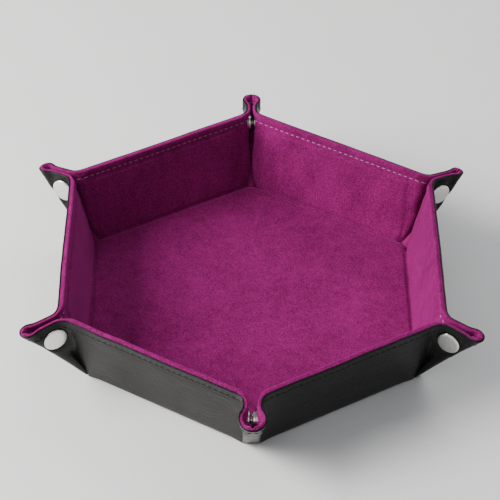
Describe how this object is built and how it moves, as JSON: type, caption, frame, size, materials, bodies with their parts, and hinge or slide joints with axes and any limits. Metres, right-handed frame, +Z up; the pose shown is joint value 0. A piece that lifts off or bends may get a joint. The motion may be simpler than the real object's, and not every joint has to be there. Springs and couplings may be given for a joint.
{
  "type": "folding dice tray",
  "caption": "Hexagonal folding tray for rolling dice: leather outside, velvet inside, walls held up by snapped, pinched corner ears.",
  "frame": {"origin": "centre of the underside of the base, standing erect", "axes": "+Z up out of the tray, +Y towards one of its six corners, +X towards the middle of a wall"},
  "size_m": [0.265, 0.3024, 0.0526],
  "materials": {
    "leather": "smooth black synthetic leather, soft sheen",
    "velvet": "purple velvet, short brushed pile",
    "sewn_sheet": "leather outside, purple velvet inside, sewn round the rim",
    "board": "grey stiffening board, hidden",
    "nickel": "nickel plated, satin"
  },
  "bodies": {
    "base": {"base_leather": "leather", "base_board": "board", "base_velvet": "velvet"},
    "wall_1": {"wall_1_leather": "leather", "wall_1_board": "board", "wall_1_velvet": "velvet"},
    "wall_2": {"wall_2_leather": "leather", "wall_2_board": "board", "wall_2_velvet": "velvet"},
    "wall_3": {"wall_3_leather": "leather", "wall_3_board": "board", "wall_3_velvet": "velvet"},
    "wall_4": {"wall_4_leather": "leather", "wall_4_board": "board", "wall_4_velvet": "velvet"},
    "wall_5": {"wall_5_leather": "leather", "wall_5_board": "board", "wall_5_velvet": "velvet"},
    "wall_6": {"wall_6_leather": "leather", "wall_6_board": "board", "wall_6_velvet": "velvet"},
    "stud_ear_1": {"stud_ear_1": "sewn_sheet", "snap_stud_1": "nickel"},
    "stud_tip_1": {"stud_tip_1": "sewn_sheet"},
    "socket_ear_1": {"socket_ear_1": "sewn_sheet", "snap_socket_1": "nickel"},
    "socket_tip_1": {"socket_tip_1": "sewn_sheet"},
    "stud_ear_2": {"stud_ear_2": "sewn_sheet", "snap_stud_2": "nickel"},
    "stud_tip_2": {"stud_tip_2": "sewn_sheet"},
    "socket_ear_2": {"socket_ear_2": "sewn_sheet", "snap_socket_2": "nickel"},
    "socket_tip_2": {"socket_tip_2": "sewn_sheet"},
    "stud_ear_3": {"stud_ear_3": "sewn_sheet", "snap_stud_3": "nickel"},
    "stud_tip_3": {"stud_tip_3": "sewn_sheet"},
    "socket_ear_3": {"socket_ear_3": "sewn_sheet", "snap_socket_3": "nickel"},
    "socket_tip_3": {"socket_tip_3": "sewn_sheet"},
    "stud_ear_4": {"stud_ear_4": "sewn_sheet", "snap_stud_4": "nickel"},
    "stud_tip_4": {"stud_tip_4": "sewn_sheet"},
    "socket_ear_4": {"socket_ear_4": "sewn_sheet", "snap_socket_4": "nickel"},
    "socket_tip_4": {"socket_tip_4": "sewn_sheet"},
    "stud_ear_5": {"stud_ear_5": "sewn_sheet", "snap_stud_5": "nickel"},
    "stud_tip_5": {"stud_tip_5": "sewn_sheet"},
    "socket_ear_5": {"socket_ear_5": "sewn_sheet", "snap_socket_5": "nickel"},
    "socket_tip_5": {"socket_tip_5": "sewn_sheet"},
    "stud_ear_6": {"stud_ear_6": "sewn_sheet", "snap_stud_6": "nickel"},
    "stud_tip_6": {"stud_tip_6": "sewn_sheet"},
    "socket_ear_6": {"socket_ear_6": "sewn_sheet", "snap_socket_6": "nickel"},
    "socket_tip_6": {"socket_tip_6": "sewn_sheet"}
  },
  "joints": [
    {"name": "wall_1_fold", "type": "hinge", "parent": "base", "child": "wall_1", "pos_m": [0.1, 0, 0.001], "axis": [0, 1, 0], "range_deg": [0, 77]},
    {"name": "wall_2_fold", "type": "hinge", "parent": "base", "child": "wall_2", "pos_m": [0.05, 0.0866, 0.001], "axis": [-0.866, 0.5, 0], "range_deg": [0, 77.01]},
    {"name": "wall_3_fold", "type": "hinge", "parent": "base", "child": "wall_3", "pos_m": [-0.05, 0.0866, 0.001], "axis": [-0.866, -0.5, 0], "range_deg": [0, 77.01]},
    {"name": "wall_4_fold", "type": "hinge", "parent": "base", "child": "wall_4", "pos_m": [-0.1, 0, 0.001], "axis": [0, -1, 0], "range_deg": [0, 77.01]},
    {"name": "wall_5_fold", "type": "hinge", "parent": "base", "child": "wall_5", "pos_m": [-0.05, -0.0866, 0.001], "axis": [0.866, -0.5, 0], "range_deg": [0, 77.01]},
    {"name": "wall_6_fold", "type": "hinge", "parent": "base", "child": "wall_6", "pos_m": [0.05, -0.0866, 0.001], "axis": [0.866, 0.5, 0], "range_deg": [0, 77.01]},
    {"name": "stud_ear_1_fold", "type": "hinge", "parent": "wall_1", "child": "stud_ear_1", "pos_m": [0.1, 0.05277, 0.001], "axis": [0.2231, 0.1288, 0.9663], "range_deg": [0, 60.85]},
    {"name": "stud_tip_1_fold", "type": "hinge", "parent": "stud_ear_1", "child": "stud_tip_1", "pos_m": [0.1, 0.05277, 0.001], "axis": [-0.5275, -0.3046, -0.7931], "range_deg": [0, 90.01]},
    {"name": "socket_ear_1_fold", "type": "hinge", "parent": "wall_2", "child": "socket_ear_1", "pos_m": [0.0957, 0.06022, 0.001], "axis": [-0.2231, -0.1288, -0.9663], "range_deg": [0, 60.85]},
    {"name": "socket_tip_1_fold", "type": "hinge", "parent": "socket_ear_1", "child": "socket_tip_1", "pos_m": [0.0957, 0.06022, 0.001], "axis": [0.5275, 0.3046, 0.7931], "range_deg": [0, 90.01]},
    {"name": "stud_ear_2_fold", "type": "hinge", "parent": "wall_2", "child": "stud_ear_2", "pos_m": [0.0043, 0.11299, 0.001], "axis": [0, 0.2576, 0.9663], "range_deg": [0, 60.85]},
    {"name": "stud_tip_2_fold", "type": "hinge", "parent": "stud_ear_2", "child": "stud_tip_2", "pos_m": [0.0043, 0.11299, 0.001], "axis": [0, -0.6091, -0.7931], "range_deg": [0, 90.01]},
    {"name": "socket_ear_2_fold", "type": "hinge", "parent": "wall_3", "child": "socket_ear_2", "pos_m": [-0.0043, 0.11299, 0.001], "axis": [0, -0.2576, -0.9663], "range_deg": [0, 60.85]},
    {"name": "socket_tip_2_fold", "type": "hinge", "parent": "socket_ear_2", "child": "socket_tip_2", "pos_m": [-0.0043, 0.11299, 0.001], "axis": [0, 0.6091, 0.7931], "range_deg": [0, 90.01]},
    {"name": "stud_ear_3_fold", "type": "hinge", "parent": "wall_3", "child": "stud_ear_3", "pos_m": [-0.0957, 0.06022, 0.001], "axis": [-0.2231, 0.1288, 0.9663], "range_deg": [0, 60.85]},
    {"name": "stud_tip_3_fold", "type": "hinge", "parent": "stud_ear_3", "child": "stud_tip_3", "pos_m": [-0.0957, 0.06022, 0.001], "axis": [0.5275, -0.3046, -0.7931], "range_deg": [0, 90.01]},
    {"name": "socket_ear_3_fold", "type": "hinge", "parent": "wall_4", "child": "socket_ear_3", "pos_m": [-0.1, 0.05277, 0.001], "axis": [0.2231, -0.1288, -0.9663], "range_deg": [0, 60.85]},
    {"name": "socket_tip_3_fold", "type": "hinge", "parent": "socket_ear_3", "child": "socket_tip_3", "pos_m": [-0.1, 0.05277, 0.001], "axis": [-0.5275, 0.3046, 0.7931], "range_deg": [0, 90.01]},
    {"name": "stud_ear_4_fold", "type": "hinge", "parent": "wall_4", "child": "stud_ear_4", "pos_m": [-0.1, -0.05277, 0.001], "axis": [-0.2231, -0.1288, 0.9663], "range_deg": [0, 60.85]},
    {"name": "stud_tip_4_fold", "type": "hinge", "parent": "stud_ear_4", "child": "stud_tip_4", "pos_m": [-0.1, -0.05277, 0.001], "axis": [0.5275, 0.3046, -0.7931], "range_deg": [0, 90.01]},
    {"name": "socket_ear_4_fold", "type": "hinge", "parent": "wall_5", "child": "socket_ear_4", "pos_m": [-0.0957, -0.06022, 0.001], "axis": [0.2231, 0.1288, -0.9663], "range_deg": [0, 60.85]},
    {"name": "socket_tip_4_fold", "type": "hinge", "parent": "socket_ear_4", "child": "socket_tip_4", "pos_m": [-0.0957, -0.06022, 0.001], "axis": [-0.5275, -0.3046, 0.7931], "range_deg": [0, 90.01]},
    {"name": "stud_ear_5_fold", "type": "hinge", "parent": "wall_5", "child": "stud_ear_5", "pos_m": [-0.0043, -0.11299, 0.001], "axis": [0, -0.2576, 0.9663], "range_deg": [0, 60.85]},
    {"name": "stud_tip_5_fold", "type": "hinge", "parent": "stud_ear_5", "child": "stud_tip_5", "pos_m": [-0.0043, -0.11299, 0.001], "axis": [0, 0.6091, -0.7931], "range_deg": [0, 90.01]},
    {"name": "socket_ear_5_fold", "type": "hinge", "parent": "wall_6", "child": "socket_ear_5", "pos_m": [0.0043, -0.11299, 0.001], "axis": [0, 0.2576, -0.9663], "range_deg": [0, 60.85]},
    {"name": "socket_tip_5_fold", "type": "hinge", "parent": "socket_ear_5", "child": "socket_tip_5", "pos_m": [0.0043, -0.11299, 0.001], "axis": [0, -0.6091, 0.7931], "range_deg": [0, 90.01]},
    {"name": "stud_ear_6_fold", "type": "hinge", "parent": "wall_6", "child": "stud_ear_6", "pos_m": [0.0957, -0.06022, 0.001], "axis": [0.2231, -0.1288, 0.9663], "range_deg": [0, 60.85]},
    {"name": "stud_tip_6_fold", "type": "hinge", "parent": "stud_ear_6", "child": "stud_tip_6", "pos_m": [0.0957, -0.06022, 0.001], "axis": [-0.5275, 0.3046, -0.7931], "range_deg": [0, 90.01]},
    {"name": "socket_ear_6_fold", "type": "hinge", "parent": "wall_1", "child": "socket_ear_6", "pos_m": [0.1, -0.05277, 0.001], "axis": [-0.2231, 0.1288, -0.9663], "range_deg": [0, 60.85]},
    {"name": "socket_tip_6_fold", "type": "hinge", "parent": "socket_ear_6", "child": "socket_tip_6", "pos_m": [0.1, -0.05277, 0.001], "axis": [0.5275, -0.3046, 0.7931], "range_deg": [0, 90.01]}
  ],
  "couplings": [
    {"joint": "wall_2_fold", "follows": "wall_1_fold", "ratio": 1},
    {"joint": "wall_3_fold", "follows": "wall_1_fold", "ratio": 1},
    {"joint": "wall_4_fold", "follows": "wall_1_fold", "ratio": 1},
    {"joint": "wall_5_fold", "follows": "wall_1_fold", "ratio": 1},
    {"joint": "wall_6_fold", "follows": "wall_1_fold", "ratio": 1},
    {"joint": "stud_ear_1_fold", "follows": "wall_1_fold", "ratio": 0.79019},
    {"joint": "stud_tip_1_fold", "follows": "wall_1_fold", "ratio": 1.1688},
    {"joint": "socket_ear_1_fold", "follows": "wall_1_fold", "ratio": 0.79019},
    {"joint": "socket_tip_1_fold", "follows": "wall_1_fold", "ratio": 1.1688},
    {"joint": "stud_ear_2_fold", "follows": "wall_1_fold", "ratio": 0.79019},
    {"joint": "stud_tip_2_fold", "follows": "wall_1_fold", "ratio": 1.1688},
    {"joint": "socket_ear_2_fold", "follows": "wall_1_fold", "ratio": 0.79019},
    {"joint": "socket_tip_2_fold", "follows": "wall_1_fold", "ratio": 1.1688},
    {"joint": "stud_ear_3_fold", "follows": "wall_1_fold", "ratio": 0.79019},
    {"joint": "stud_tip_3_fold", "follows": "wall_1_fold", "ratio": 1.1688},
    {"joint": "socket_ear_3_fold", "follows": "wall_1_fold", "ratio": 0.79019},
    {"joint": "socket_tip_3_fold", "follows": "wall_1_fold", "ratio": 1.1688},
    {"joint": "stud_ear_4_fold", "follows": "wall_1_fold", "ratio": 0.79019},
    {"joint": "stud_tip_4_fold", "follows": "wall_1_fold", "ratio": 1.1688},
    {"joint": "socket_ear_4_fold", "follows": "wall_1_fold", "ratio": 0.79019},
    {"joint": "socket_tip_4_fold", "follows": "wall_1_fold", "ratio": 1.1688},
    {"joint": "stud_ear_5_fold", "follows": "wall_1_fold", "ratio": 0.79019},
    {"joint": "stud_tip_5_fold", "follows": "wall_1_fold", "ratio": 1.1688},
    {"joint": "socket_ear_5_fold", "follows": "wall_1_fold", "ratio": 0.79019},
    {"joint": "socket_tip_5_fold", "follows": "wall_1_fold", "ratio": 1.1688},
    {"joint": "stud_ear_6_fold", "follows": "wall_1_fold", "ratio": 0.79019},
    {"joint": "stud_tip_6_fold", "follows": "wall_1_fold", "ratio": 1.1688},
    {"joint": "socket_ear_6_fold", "follows": "wall_1_fold", "ratio": 0.79019},
    {"joint": "socket_tip_6_fold", "follows": "wall_1_fold", "ratio": 1.1688}
  ]
}
